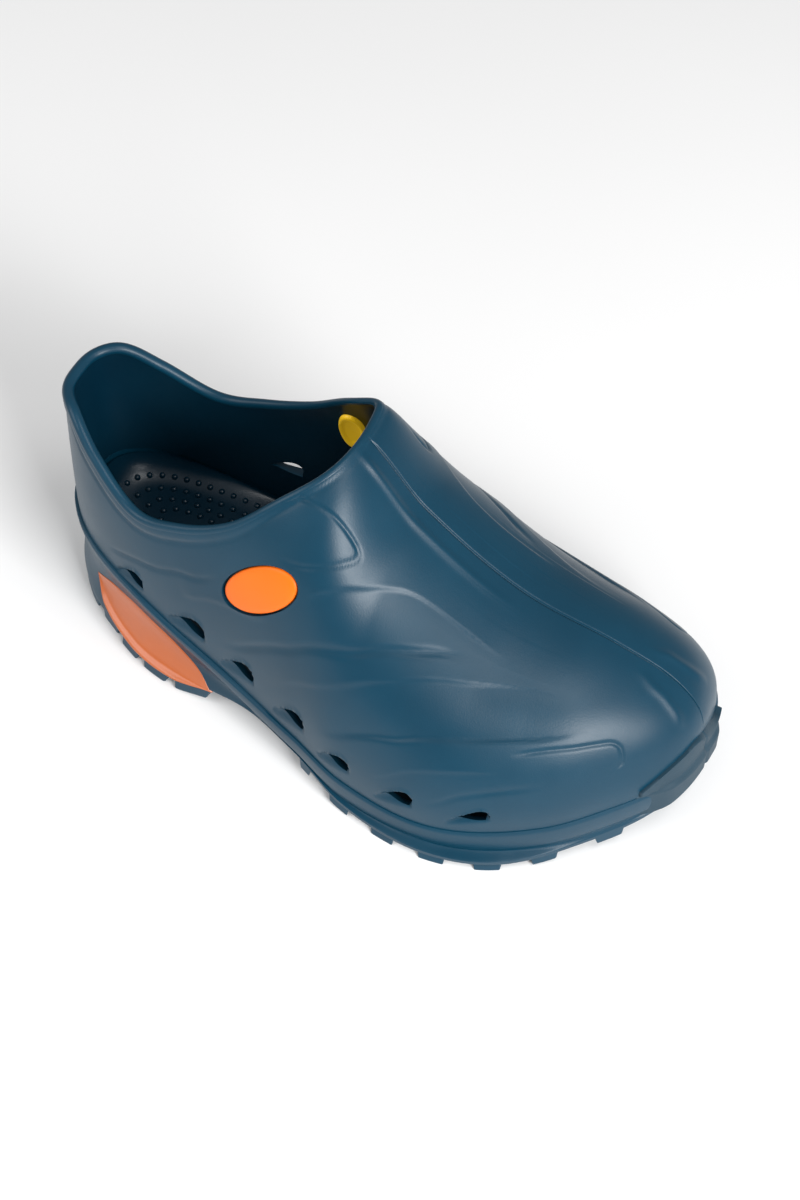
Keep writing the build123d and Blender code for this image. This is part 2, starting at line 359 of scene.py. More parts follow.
UNDER_RIDGE = [
    (26, 0.085), (31, 0.12), (36.5, 0.173), (41, 0.213), (50, 0.265), (62, 0.31), (76, 0.34),
]
UNDER_GROOVE = [(48, 0.075), (54.5, 0.12), (60, 0.17), (67, 0.205), (76, 0.235), (88, 0.262)]
TOE_LEAF = [
    (72, 0.405), (82, 0.445), (91, 0.475), (98, 0.502), (101.8, 0.512), (104.2, 0.492),
    (105.6, 0.454), (106.5, 0.405), (106.2, 0.355), (103, 0.315),
]
HEEL_LINE = [
    (-97, 0.055), (-88, 0.09), (-79, 0.125), (-70.5, 0.155), (-60.5, 0.205), (-53.5, 0.23),
    (-48, 0.262), (-43, 0.30),
]
HEEL_LOW = [
    (-60, 0.135), (-53.5, 0.168), (-49, 0.193), (-43, 0.218), (-35.5, 0.24), (-27, 0.262),
    (-19, 0.305),
]

# Vents: x of the front edge, height of its arc as a share, length of the scoop.
VENTS = [
    (-78.0, 0.066, 15.0), (-49.2, 0.080, 18.5), (-26.4, 0.076, 16.5), (-2.4, 0.072, 15.5),
    (18.8, 0.076, 14.5), (45.0, 0.102, 15.0), (71.6, 0.102, 14.5),
]
VENT_DEPTH = 3.2
VENT_RIM = 0.4           # height of the raised line over each scoop
HOLE_FRONT, HOLE_BACK = 0.03, 0.72
HOLE_DROP = 7.0          # the lateral holes run down into the shoe by this much over the cut's depth
MEDIAL_RISE = 0.068      # the medial vents stand this much higher about the arch
VENTS_ON = {-1: VENTS, 1: VENTS[1:]}

# The plug's oval in the same coordinates: its middle and two half-axes.
PLUG_OVAL = np.array([(-26.2, 0.349), (14.4, 0.0955), (-3.4, 0.0565)])
POCKET_SCALE = 1.04

LIP_WIDTH = 5.0          # the swell below the rim, at the heel; narrower at the throat
LIP_SWELL = 0.7
CREASE_DEPTH = 0.35      # of the crease under the swell
LIP_HEEL = 3.4           # thickness of the wall at the rim
LIP_THROAT = 1.9
SHOULDER, SHOULDER_X, SHOULDER_LONG = 3.6, -12.0, 10.0
PARTING_DEPTH = 0.7
CREST_RIDGE = 0.7        # height of the ridge beside the parting line, and how far it stands off
CREST_RIDGE_OFF = 6.4

STATIONS = 516           # columns of each half of the upper, from toe to heel
ROWS = 180               # rows from the seam to the crest
INNER_STEP = 6           # the plain inside takes every sixth row
RIM_POINTS = 420
LIP_SIDES = 24
LINE_POINTS = 150
CHUNK = 20000            # points handled together, to spare memory
FAR = 99.0


def curve_through(knots, samples):
    """Evenly spread points of a smooth curve through 2-D knots."""
    knots = np.asarray(knots, float)
    gaps = np.linalg.norm(np.diff(knots * [1, SHARE_MM], axis=0), axis=1)
    run = np.concatenate([[0], np.cumsum(gaps)])
    at = np.linspace(0, run[-1], samples)
    return np.stack([blend(np.stack([run, knots[:, k]], 1), at) for k in (0, 1)], 1)


def nearest_on(line, points):
    """Distance from each point to the nearest of the line's points, and that one's number."""
    gap = np.empty(len(points))
    number = np.empty(len(points), int)
    for start in range(0, len(points), CHUNK):
        part = slice(start, start + CHUNK)
        apart = np.linalg.norm(points[part, None] - line[None], axis=2)
        number[part] = apart.argmin(1)
        gap[part] = apart.min(1)
    return gap, number


def line_relief(grid, side, knots, profile, reach=14.0, taper=0.16):
    """Adds profile(signed distance) along a line on the shell; left of the line is positive."""
    line = curve_through(knots, LINE_POINTS)
    line_xyz = shell(angle_at(line[:, 0]), line[:, 1], side)
    flat = line * [1, SHARE_MM]
    tangent = np.gradient(flat, axis=0)
    here = np.stack([grid["x"], grid["share"] * SHARE_MM], -1)
    low, high = flat.min(0) - reach, flat.max(0) + reach
    near = np.nonzero(((here > low) & (here < high)).all(-1).ravel())[0]
    gap, nearest = nearest_on(line_xyz, grid["base"].reshape(-1, 3)[near])
    away = here.reshape(-1, 2)[near] - flat[nearest]
    turn = tangent[nearest]
    left = np.sign(turn[:, 0] * away[:, 1] - turn[:, 1] * away[:, 0])
    along = nearest / (LINE_POINTS - 1)
    fade = step(0, taper, along) * step(0, taper, 1 - along)
    grid["lift"].reshape(-1)[near] += profile(gap * left) * fade


def groove(depth, width):
    return lambda d: -depth * np.exp(-((d / width) ** 2))


def fold(height, sharp, soft):
    """A crease: the left side stands up and dies away slowly; the right side drops at once."""
    return lambda d: np.where(d > 0, height * np.exp(-d / soft), height * np.exp(-((d / sharp) ** 2)))


def vent_edges(x, back, top, side):
    """Lower and upper edge of a scoop, as shares; back runs from 0 at its front to 1 at its tail."""
    back = np.clip(back, 1e-6, 1)
    low = 0.42 * top * (1 - back) ** 1.2
    if side > 0:
        low = low + MEDIAL_RISE * np.exp(-(((x + 55) / 40) ** 2))
    arch = np.clip(np.sin(math.pi * back**0.5), 1e-3, 1) ** 0.7
    return low, low + 0.72 * top * arch


def vent_relief(grid, side):
    """Each vent is a scoop: a ramp that sinks under an arched upper edge."""
    for front, top, length in VENTS_ON[side]:
        back = (front - grid["x"]) / length
        low, high = vent_edges(grid["x"], back, top, side)
        up = (grid["share"] - low) / (high - low)
        within = (back > 0) & (back < 1)
        slope = np.clip(1 - back, 0, 1) ** 0.7 * step(-0.1, 0.55, up)
        grid["lift"] -= VENT_DEPTH * within * step(0, 0.12, 1 - up) * step(0, 0.04, back) * slope
        rim = np.exp(-(((up - 1.12) / 0.08) ** 2)) * step(0, 0.1, back) * step(0, 0.5, 1 - back)
        grid["lift"] += VENT_RIM * rim


def surface(angle, share, side):
    """The shell with the medial corner of the throat standing squarer than the arch."""
    points = shell(angle, share, side)
    if side > 0:
        along = np.exp(-(((points[..., 0] - SHOULDER_X) / SHOULDER_LONG) ** 2))
        across = np.exp(-(((share - 0.74) / 0.12) ** 2)) * step(0, 0.1, 1 - share)
        points += (SHOULDER * along * across)[..., None] * np.array([0, 0.3, 0.95])
    return points


def facing(points, side):
    """Outward normals of a grid of shell points."""
    return unit(np.cross(np.gradient(points, axis=0), np.gradient(points, axis=1)) * side)


def rim_height(x):
    """Height at which the wall is cut, just under the rounded lip."""
    return blend(COLLAR, x) - LIP_RISE * step(0, 30, COLLAR[-1][0] - x)


def rim_line(side, samples):
    """The rim on one side, from the throat to the heel: points and outward normals."""
    back = np.linspace(0, 1, samples)
    angle = THROAT + (180 - THROAT) * 1.12 * back**2 / (back + 0.12)
    low, high = np.zeros(samples), np.ones(samples)
    for _ in range(30):
        middle = (low + high) / 2
        points = surface(angle, middle, side)
        under_rim = points[:, 2] < rim_height(points[:, 0])
        low = np.where(under_rim, middle, low)
        high = np.where(under_rim, high, middle)
    low[0] = 1
    patch = [surface(np.clip(angle + turn, 0, 180), np.clip(low + up, 0, 1), side)
             for turn, up in ((-0.4, 0), (0.4, 0), (0, -0.004), (0, 0.004))]
    normal = unit(np.cross(patch[1] - patch[0], patch[3] - patch[2]) * side)
    return surface(angle, low, side), normal


def upper_grid(side, angles, rows):
    """One half of the shell, closed over the crest: its base points, normals and relief height."""
    t = np.linspace(0, 1, rows)
    spread = 1.35 * t - 0.35 * t**3
    foot = (seam(angles) - column(BAND, angles)) / SHARE_MM
    share = foot[:, None] + (1 - foot)[:, None] * spread[None]
    share[:, -1] = 1
    base = surface(np.broadcast_to(angles[:, None], share.shape), share, side)
    lift = np.zeros(share.shape)
    return {"x": base[..., 0], "share": share, "base": base, "normal": facing(base, side), "lift": lift}


def share_edges(a, b, name):
    """Both halves get one value where they meet, at the toe, the heel and along the crest."""
    for cut in (np.s_[0, :], np.s_[-1, :], np.s_[:, -1]):
        a[name][cut] = b[name][cut] = (a[name][cut] + b[name][cut]) / 2


def lip_size(x):
    """The lip is full size at the heel and half of it at the throat."""
    return 1 - 0.5 * step(-70, -15, x)


def collar_relief(grid, collar):
    """The swell below the rim and the crease under it."""
    points = grid["base"].reshape(-1, 3)
    gap = np.full(len(points), FAR)
    near = np.nonzero(points[:, 0] < 12)[0]
    gap[near] = nearest_on(collar, points[near])[0]
    gap = gap.reshape(grid["lift"].shape)
    grid["lip_gap"] = gap
    size = lip_size(grid["x"])
    grid["lift"] += LIP_SWELL * size * step(0, 0.5, 1 - gap / LIP_WIDTH / size)
    crease = np.exp(-(((gap - (LIP_WIDTH + 0.4) * size) / 0.8) ** 2))
    grid["lift"] -= CREASE_DEPTH * size * crease


def relief(grid, side):
    """All that stands up from the shell or sinks into it, but for the lip."""
    line_relief(grid, side, LEAF_TIP, groove(0.55, 0.75))
    line_relief(grid, side, SWEEP_HIGH, fold(0.45, 0.6, 7.0))
    line_relief(grid, side, SWEEP_MIDDLE, groove(0.75, 1.5))
    line_relief(grid, side, RIDGE, fold(0.5, 1.1, 7.0), taper=0.3)
    line_relief(grid, side, LEAF_LOW, lambda d: -fold(0.95, 1.2, 9.0)(d), taper=0.2)
    line_relief(grid, side, UNDER_RIDGE, fold(0.35, 0.8, 5.0), taper=0.3)
    line_relief(grid, side, UNDER_GROOVE, groove(0.4, 1.2), taper=0.3)
    line_relief(grid, side, TOE_LEAF, groove(0.42, 0.8))
    line_relief(grid, side, TOE_RIDGE, groove(-0.5, 2.0), taper=0.35)
    line_relief(grid, side, HEEL_LINE, groove(0.5, 1.0))
    line_relief(grid, side, HEEL_LOW, fold(0.35, 0.7, 5.0))
    vent_relief(grid, side)
    crest_gap = (1 - grid["share"]) * SHARE_MM
    fore = step(0, 8, grid["x"] + 10)
    grid["lift"] -= PARTING_DEPTH * np.exp(-((crest_gap / 0.4) ** 2)) * fore
    if side < 0:
        ridge_run = fore * (1 - step(20, 62, grid["x"]))
        ridge = np.exp(-(((crest_gap - CREST_RIDGE_OFF) / 1.5) ** 2))
        grid["lift"] += CREST_RIDGE * ridge * ridge_run


def lip_width(x):
    """Thickness of the wall at the rim."""
    return LIP_THROAT + (LIP_HEEL - LIP_THROAT) * (1 - step(-112, -20, x))


def wall_thickness(grid, rows):
    """The wall thins towards the lip, and more so at the throat than at the heel."""
    at_lip = lip_width(grid["x"][:, rows])
    return at_lip + (WALL - at_lip) * step(2, 24, grid["lip_gap"][:, rows])


def build_lip(rims):
    """The rounded lip: an oval bead swept all along the rim."""
    (a, a_normal), (b, b_normal) = rims[-1], rims[1]
    ring = np.concatenate([a, b[1:-1][::-1]])
    normal = np.concatenate([a_normal, b_normal[1:-1][::-1]])
    for _ in range(6):
        normal = unit(normal + np.roll(normal, 1, 0) + np.roll(normal, -1, 0))
    run = unit(np.roll(ring, -1, 0) - np.roll(ring, 1, 0))
    normal = unit(normal - run * (normal * run).sum(1, keepdims=True))
    upward = np.cross(normal, run)
    upward *= np.sign(upward[:, 2:])
    size = lip_size(ring[:, :1])
    thick = lip_width(ring[:, :1])
    centre = ring + normal * (LIP_SWELL * size - thick) / 2
    rows = []
    for turn in np.linspace(0, 2 * math.pi, LIP_SIDES, endpoint=False):
        across = normal * (thick / 2 + LIP_SWELL / 2 * size + 0.15) * math.cos(turn)
        rows.append(centre + across + upward * (LIP_RISE * 0.55 + size) * math.sin(turn))
    index = np.arange(LIP_SIDES * len(ring)).reshape(LIP_SIDES, len(ring))
    index = np.concatenate([index, index[:1]])
    index = np.concatenate([index, index[:, :1]], 1)
    return add_mesh("lip", np.concatenate(rows), grid_quads(index).tolist(), NAVY, weld=0)


def build_upper():
    """The moulded upper: two halves with an outer and an inner skin, cut open and given its lip."""
    angles = np.linspace(0, 180, STATIONS)
    halves = {side: upper_grid(side, angles, ROWS) for side in (-1, 1)}
    share_edges(halves[-1], halves[1], "normal")
    rims = {side: rim_line(side, RIM_POINTS) for side in (-1, 1)}
    collar = np.concatenate([rims[-1][0], rims[1][0][::-1]])
    for side, grid in halves.items():
        grid["normal"] = unit(grid["normal"])
        relief(grid, side)
        collar_relief(grid, collar)
        grid["outer"] = grid["base"] + grid["normal"] * grid["lift"][..., None]
    share_edges(halves[-1], halves[1], "outer")

    inner_rows = np.unique(np.concatenate([np.arange(0, ROWS, INNER_STEP), [ROWS - 1]]))
    for grid in halves.values():
        inward = grid["normal"][:, inner_rows] * wall_thickness(grid, inner_rows)[..., None]
        grid["inner"] = grid["base"][:, inner_rows] - inward
    share_edges(halves[-1], halves[1], "inner")
    points, faces, index, number = [], [], {}, 0
    for skin in ("outer", "inner"):
        first_inside = len(faces)
        for side, grid in halves.items():
            shape = grid[skin].shape[:2]
            index[skin, side] = np.arange(number, number + shape[0] * shape[1]).reshape(shape)
            number += shape[0] * shape[1]
            points.append(grid[skin].reshape(-1, 3))
            faces.extend(grid_quads(index[skin, side]).tolist())
    last_inside = len(faces)
    foot = np.array([
        np.concatenate([index[skin, -1][:, 0], index[skin, 1][1:-1, 0][::-1]])
        for skin in ("outer", "inner")
    ])
    faces.extend(grid_quads(np.concatenate([foot, foot[:, :1]], 1)).tolist())
    # Painted shade: the inner skin takes the darker navy.
    inside_shade = (NAVY_PAINTED_SHADE, first_inside, last_inside)
    upper = add_mesh("upper_moulding", np.concatenate(points), faces, NAVY, inside_shade=inside_shade)
    cut_away(upper, [opening_cutter()] + vent_cutters() + oval_pockets())
    join(upper, build_lip(rims))
    return upper


def join(piece, extra):
    """Adds the faces of a second mesh object to the first."""
    both = bmesh.new()
    both.from_mesh(piece.data)
    both.from_mesh(extra.data)
    both.to_mesh(piece.data)
    both.free()
    discard(extra)


# ---- cutters
def prism_between(low, high):
    """Points and faces of a closed prism between two outlines of equal length."""
    count = len(low)
    faces = [list(range(count))[::-1], list(range(count, 2 * count))]
    for i in range(count):
        j = (i + 1) % count
        faces.append([i, j, count + j, count + i])
    return np.concatenate([low, high]), faces


def cutter(name, points, faces):
    """A tool body for cut_away."""
    mesh = bpy.data.meshes.new(name)
    mesh.from_pydata(((points + SHIFT) * 0.001).tolist(), [], faces)
    piece = bpy.data.objects.new(name, mesh)
    bpy.context.collection.objects.link(piece)
    outward_faces(piece)
    return piece


def shell_normal(x, share, side):
    """A point of the shell and its outward normal."""
    angle = float(angle_at(x))
    here = shell(angle, share, side)
    along = shell(angle - 0.5, share, side) - here
    up = shell(angle, share + 0.005, side) - here
    normal = unit(np.cross(along, up))
    return here, (normal if normal[1] * side > 0 else -normal)


def opening_cutter():
    """Everything above the rim's side profile, across the whole width."""
    x = np.concatenate([np.linspace(COLLAR[-1][0], -70, 60), np.linspace(-70, -140, 40)[1:]])
    profile = np.concatenate([np.stack([x, rim_height(x)], 1), [(-140, 200), (COLLAR[-1][0], 200)]])
    low, high = np.insert(profile, 1, -90, axis=1), np.insert(profile, 1, 90, axis=1)
    return cutter("opening_cut", *prism_between(low, high))


def vent_cutters():
    """A tool for each vent's hole, from the scoop's floor through the wall."""
    pieces = []
    for side in (-1, 1):
        for k, (front, top, length) in enumerate(VENTS_ON[side]):
            run = np.linspace(0, 1, 20)
            back = HOLE_FRONT + (HOLE_BACK - HOLE_FRONT) * run
            x = front - back * length
            low, high = vent_edges(x, back, top, side)
            upper_edge = low + 0.94 * (high - low)
            lower_edge = low + (high - low) * (0.12 + 0.82 * run**2.4)
            x = np.concatenate([x, x[-2:0:-1]])
            shares = np.concatenate([upper_edge, lower_edge[-2:0:-1]])
            _, normal = shell_normal(front - 0.25 * length, float(shares.mean()), side)
            wall = shell(angle_at(x), shares, side)
            slide = normal * 9 + np.array([0, 0, HOLE_DROP if side < 0 else 0])
            points, faces = prism_between(wall - slide, wall + slide * 0.4)
            pieces.append(cutter(f"vent_cut_{side}_{k}", points, faces))
    return pieces


def oval_outline(oval, scale, samples):
    """Points round an oval on the shell, given as its middle and two half-axes."""
    middle, long_axis, short_axis = oval
    turns = np.linspace(0, 2 * math.pi, samples, endpoint=False)[:, None]
    return middle + scale * (long_axis * np.cos(turns) + short_axis * np.sin(turns))


def oval_pockets():
    """A tool for each plug's pocket, a little larger than the plug."""
    pieces = []
    for side in (-1, 1):
        _, normal = shell_normal(*PLUG_OVAL[0], side)
        outline = oval_outline(PLUG_OVAL, POCKET_SCALE, 72)
        wall = shell(angle_at(outline[:, 0]), outline[:, 1], side)
        points, faces = prism_between(wall - normal * 2.2, wall + normal * 4)
        pieces.append(cutter(f"oval_cut_{side}", points, faces))
    return pieces


def cut_away(piece, cutters):
    for tool in cutters:
        cut = piece.modifiers.new("cut", "BOOLEAN")
        cut.operation = "DIFFERENCE"
        cut.solver = "MANIFOLD"
        cut.object = tool
    apply_modifiers(piece)
    for tool in cutters:
        discard(tool)


# ---- sole unit
STRIP_PROUD = 0.3
STRIP_LAP = 1.08         # the wall starts at this share of the strip's height, under its lower line
WALL_SET_IN = 0.3        # the wall's foot and head stand this far inside SPREAD and FLARE
FOOT_ROUND = 0.5         # height of the rounding at the wall's foot
COVE = [(-125, 1.2), (-112, 2.6), (-100, 3.6), (-70, 3.6), (-50, 2.2), (-30, 0.8), (125, 0.3)]
LOOP = 360               # points along each half of the sole's rings


def ground(x):
    return np.maximum(blend(GROUND, x), 0.0)


def sole_ring(grow, height, scale=1.0):
    """A closed ring grow millimetres outside the sole's outline, shrunk to scale about its middle."""
    angles = 90 - 90 * np.cos(np.linspace(0, math.pi, LOOP))
    if callable(grow):
        grow = grow(HALF_LENGTH * np.cos(np.radians(angles)))
    halves = []
    for side in (-1, 1):
        edge = sole_edge(angles, side, grow)
        middle = column(CENTRE, angles)
        x = edge[:, 0] * (1 - (1 - scale) * 0.5)
        y = middle + (edge[:, 1] - middle) * scale
        halves.append(np.stack([x, y, height(x, angles)], 1))
    return np.concatenate([halves[0], halves[1][1:-1][::-1]])


def strip_profile(share):
    """How far the strip stands out, by share of its height below the seam."""
    bulge = STRIP_PROUD * np.sin(math.pi * np.clip(share, 0, 1)) ** 0.7
    lines = 0.55 * np.exp(-((share / 0.07) ** 2)) + 0.4 * np.exp(-(((share - 1.03) / 0.07) ** 2))
    return bulge - lines


def under(x):
    """Height of the sole's underside, where the treads are fixed."""
    return ground(x) + TREAD_DEPTH


def wall_top(x, angles):
    return np.maximum(seam(angles) - STRIP_LAP * blend(STRIP, x), under(x) + 0.8)


def wall_out(x, share):
    """How far the side wall under the strip stands out: a cove along the heel, spread at its foot."""
    foot = blend(SPREAD, x) - WALL_SET_IN
    leaning = foot + (blend(FLARE, x) - WALL_SET_IN - foot) * step(0, 1, share)
    return leaning - blend(COVE, x) * np.sin(math.pi * share) ** 1.3


def sole_rings():
    """Rings from the middle of the underside, up the wall and strip, down inside to the footbed."""
    def bottom(x, angles):
        return under(x)

    def bottom_edge(x):
        return blend(SPREAD, x) - 1.4

    rings = [sole_ring(bottom_edge, bottom, scale) for scale in (0.02, 0.3, 0.6, 0.85, 1.0)]
    rings.append(sole_ring(lambda x: blend(SPREAD, x) - 0.6, lambda x, a: under(x) + 0.15))
    for share in np.linspace(0, 1, 28):
        def wall(x, angles, u=share):
            low = under(x) + FOOT_ROUND
            return low + (wall_top(x, angles) - low) * u
        rings.append(sole_ring(lambda x, u=share: wall_out(x, u), wall))
    for share in np.linspace(1.05, 0, 26):
        def strip(x, angles, u=share):
            return seam(angles) + (wall_top(x, angles) - seam(angles)) * u / STRIP_LAP
        rings.append(sole_ring(lambda x, u=share: blend(FLARE, x) + strip_profile(u), strip))
    rings.append(sole_ring(-WALL - 0.1, lambda x, a: seam(a)))
    for share in (0.5, 0.9, 1.0):
        def inner(x, angles, u=share):
            return seam(angles) * (1 - u) + blend(FOOTBED, x) * u
        rings.append(sole_ring(-WALL - 0.1, inner))
    for scale in (0.85, 0.5, 0.2, 0.02):
        rings.append(sole_ring(-SOLE_WALL, lambda x, a: blend(FOOTBED, x), scale))
    return rings


def closed_rings(rings):
    """Points and faces of a stack of closed rings, with both ends filled."""
    count = len(rings[0])
    index = np.arange(len(rings) * count).reshape(len(rings), count)
    faces = grid_quads(np.concatenate([index, index[:, :1]], 1)).tolist()
    for ring in (index[0], index[-1]):
        half = count // 2
        for i in range(1, half):
            a, b, c, d = ring[i - 1], ring[i], ring[count - i], ring[(count - i + 1) % count]
            faces.append([a, b, c, d] if a != d else [a, b, c])
        faces.append([ring[half - 1], ring[half], ring[half + 1]])
    return np.concatenate(rings), faces


def build_sole():
    points, faces = closed_rings(sole_rings())
    return add_mesh("sole_moulding", points, faces, NAVY, weld=0)


# ---- heel inserts
INSERT_ENDS = (-110.0, -47.0)
INSERT_DEPTH = 3.0       # the insert reaches this far into the wall
INSERT_LOW = [(-110, 19.5), (-103, 12.5), (-92, 7.8), (-78, 6.2), (-62, 6.4), (-47, 8.6)]
INSERT_HIGH = [(-110, 19.5), (-100, 24.2), (-86, 26.0), (-70, 23.2), (-57, 16.4), (-47, 8.6)]
# Across the insert from its upper edge: how far it stands out from the wall.
INSERT_SECTION = [
    (0, -0.5), (0.03, 0.3), (0.1, 0.35), (0.6, 0.3), (0.78, 0.35), (0.85, 0.8), (0.90, 1.9),
    (0.94, 2.1), (0.97, 1.7), (0.99, 0.9), (1, -0.6),
]


def build_insert(name, side):
    """A lens let into the cove of the heel: a tilted face over a ledge along its lower edge."""
    first, last = INSERT_ENDS
    x = (first + last) / 2 - (last - first) / 2 * np.cos(np.linspace(0, math.pi, 141))
    angles = angle_at(x)
    low, high = blend(INSERT_LOW, x)[:, None], blend(INSERT_HIGH, x)[:, None]
    across = np.linspace(0, 1, 61)[None]
    z = high + (low - high) * across
    foot = under(x)[:, None] + FOOT_ROUND
    wall_share = np.clip((z - foot) / (wall_top(x, angles)[:, None] - foot), 0, 1)
    lens = np.clip((high - low) / 12, 0, 1)
    stand = blend(INSERT_SECTION, across) * lens + 0.15 * (1 - lens)
    grow = wall_out(x[:, None] * np.ones_like(z), wall_share)
    sheets = []
    for depth in (stand, np.full_like(z, -INSERT_DEPTH)):
        sheet = np.empty(z.shape + (3,))
        for k in range(z.shape[1]):
            sheet[:, k, :2] = sole_edge(angles, side, grow[:, k] + depth[:, k])
        sheet[..., 2] = z
        sheets.append(sheet)
    return add_mesh(name, *slab(*sheets), ORANGE, weld=0.02)


def slab(front_points, rear_points, first=0):
    """Points and faces of a solid between two grids of points; first is its first vertex number."""
    front = np.arange(front_points[..., 0].size).reshape(front_points.shape[:2]) + first
    rear = front + front.size
    faces = grid_quads(front).tolist() + grid_quads(rear).tolist()
    for edge in (np.s_[:, 0], np.s_[:, -1], np.s_[0], np.s_[-1]):
        faces += grid_quads(np.stack([front[edge], rear[edge]])).tolist()
    return np.concatenate([front_points.reshape(-1, 3), rear_points.reshape(-1, 3)]), faces


# ---- toe guard
# Top edge: half-width from the toe's middle, share of the arch. The last half-width is the guard's
# reach on that side.
GUARD_TOP = {
    -1: [
        (0, 0.97), (4, 0.82), (9, 0.62), (14, 0.43), (18, 0.33), (22.5, 0.22), (26.5, 0.12),
        (29.5, 0.05),
    ],
    1: [(0, 0.97), (4, 0.80), (8, 0.52), (12, 0.24), (16, 0.06), (20, 0.03)],
}
GUARD_PROUD = {-1: 1.3, 1: 2.8}
GUARD_SPLIT = 0.42       # share of the rows that lie below the band line
GUARD_ROOT = 1.2         # the guard's edges are sunk this far under the upper's face
GUARD_BACK = 1.6         # depth of its hidden rear face


def guard_column(signed, up):
    """Base points of the guard at one section angle, from the tread to its top edge."""
    side, angle = (-1 if signed < 0 else 1), abs(signed)
    band = float(column(BAND, angle))
    low = float(under(HALF_LENGTH * math.cos(math.radians(angle)))) - 0.2
    top = float(blend(GUARD_TOP[side], half_width(angle, side)))
    below = up < GUARD_SPLIT
    base = np.empty((len(up), 3))
    base[below, :2] = sole_edge(np.full(below.sum(), angle), side, 0.0)
    base[below, 2] = low + (band - low) * up[below] / GUARD_SPLIT
    base[~below] = shell(angle, top * (up[~below] - GUARD_SPLIT) / (1 - GUARD_SPLIT), side)
    return base


def build_guard():
    """The toe guard: a raised skin from the tread up over the front of the toe box."""
    scan = np.linspace(0, 60, 1201)
    reach = {
        side: np.interp(top[-1][0], half_width(scan, side), scan)
        for side, top in GUARD_TOP.items()
    }
    angles = np.concatenate([
        np.linspace(-reach[-1], -0.01, 110),
        np.linspace(0.01, reach[1], 100),
    ])
    up = np.linspace(0, 1, 96)
    base = np.array([guard_column(angle, up) for angle in angles])
    run_along, run_up = np.gradient(base, axis=0), np.gradient(base, axis=1)
    normal = unit(np.cross(run_along, run_up))
    normal = np.where((normal[..., :1] > 0), normal, -normal)
    sides = np.where(angles > 0, 1, -1)
    width = np.array([half_width(abs(angle), side) for angle, side in zip(angles, sides)])
    width = width[:, None]
    left_over = np.array([GUARD_TOP[side][-1][0] for side in sides])[:, None] - width
    swing = step(-14, 12, width * sides[:, None])
    rim = np.minimum(step(0, 0.02, up)[None], step(0, 1, (1 - up)[None] / (0.035 + 0.5 * swing)))
    upper_part = step(GUARD_SPLIT, GUARD_SPLIT + 0.15, up)[None]
    end = step(0, 1.2, left_over) * upper_part + step(0, 12, left_over) * (1 - upper_part)
    flare = (SOLE_FLARE + 0.1) * (1 - step(GUARD_SPLIT - 0.02, GUARD_SPLIT + 0.12, up))[None]
    parting = 0.7 * np.exp(-((width / 0.7) ** 2))
    thickness = GUARD_PROUD[-1] + (GUARD_PROUD[1] - GUARD_PROUD[-1]) * swing
    proud = -GUARD_ROOT + (thickness + GUARD_ROOT) * rim * end + flare - parting
    front, rear = base + normal * proud[..., None], base - normal * GUARD_BACK
    return add_mesh("toe_guard", *slab(front, rear), GUARD)


# ---- treads
HEEL_LUGS = [(-119, -106.5), (-104.7, -93), (-91.2, -79.4), (-77.8, -65), (-63.2, -47.8)]
FORE_LUGS = [
    (-5, 1.5), (9.6, 20), (28.3, 39.2), (47, 58), (66, 76.4), (84.2, 93.6), (102.8, 111.5),
]
LUG_TAPER = 1.1          # each end of a lug slopes in by this much towards the ground
LUG_SUNK = 1.6           # a lug reaches this far up into the sole
PAD_DEPTH = 2.2          # the pad between the lugs hangs this far below the sole
CENTRE_GAP = 3.0


def lug_points(start, end, side, slant, grow_of, z_of):
    """Plan grid of one lug, from the centre groove out to its outer face."""
    x_edge = np.linspace(start, end, 9)
    edge = sole_edge(angle_at(x_edge), side, grow_of(x_edge))
    out = np.linspace(0, 1, 7)[:, None]
    inner_y = side * CENTRE_GAP
    lean = slant * np.abs(edge[:, 1] - inner_y)
    x = edge[:, 0] - lean * (1 - out)
    y = inner_y + (edge[:, 1] - inner_y) * out
    return np.stack([x, y, z_of(x)], -1)


def build_tread(name, lugs, slant, bevel, kick, pad_ends):
    """A tread: a thin pad with a row of bevelled lugs on each side of a centre groove.

    kick is how far the lugs' feet stand out beyond the wall above them."""
    def foot_out(x):
        return blend(SPREAD, x) - WALL_SET_IN + kick * step(-97, -88, x)

    def head_out(x):
        wall = wall_top(x, angle_at(x)) - under(x) - FOOT_ROUND
        return wall_out(x, np.clip((LUG_SUNK - FOOT_ROUND) / wall, 0, 1)) - 0.15

    def head_height(x):
        return under(x) + LUG_SUNK

    x = np.linspace(*pad_ends, 60)
    rims = [sole_edge(angle_at(x), side, blend(SPREAD, x) - 0.7) for side in (-1, 1)]
    out = np.linspace(0, 1, 5)[:, None]
    plan = [rims[0][:, k] + (rims[1][:, k] - rims[0][:, k]) * out for k in (0, 1)]
    blocks = [[np.stack([*plan, under(plan[0]) + rise], -1) for rise in (-PAD_DEPTH, 0.2)]]
    for start, end in lugs:
        for side in (-1, 1):
            foot = lug_points(start + LUG_TAPER, end - LUG_TAPER, side, slant, foot_out, ground)
            blocks.append([foot, lug_points(start, end, side, slant, head_out, head_height)])
    points, faces = np.empty((0, 3)), []
    for low, high in blocks:
        block_points, block_faces = slab(low, high, len(points))
        points = np.concatenate([points, block_points])
        faces += block_faces
    piece = add_mesh(name, points, faces, TREAD, weld=0)
    edges = piece.modifiers.new("edges", "BEVEL")
    edges.width = bevel * 0.001
    edges.segments = 3
    edges.limit_method = "ANGLE"
    edges.angle_limit = math.radians(40)
    apply_modifiers(piece)
    return piece


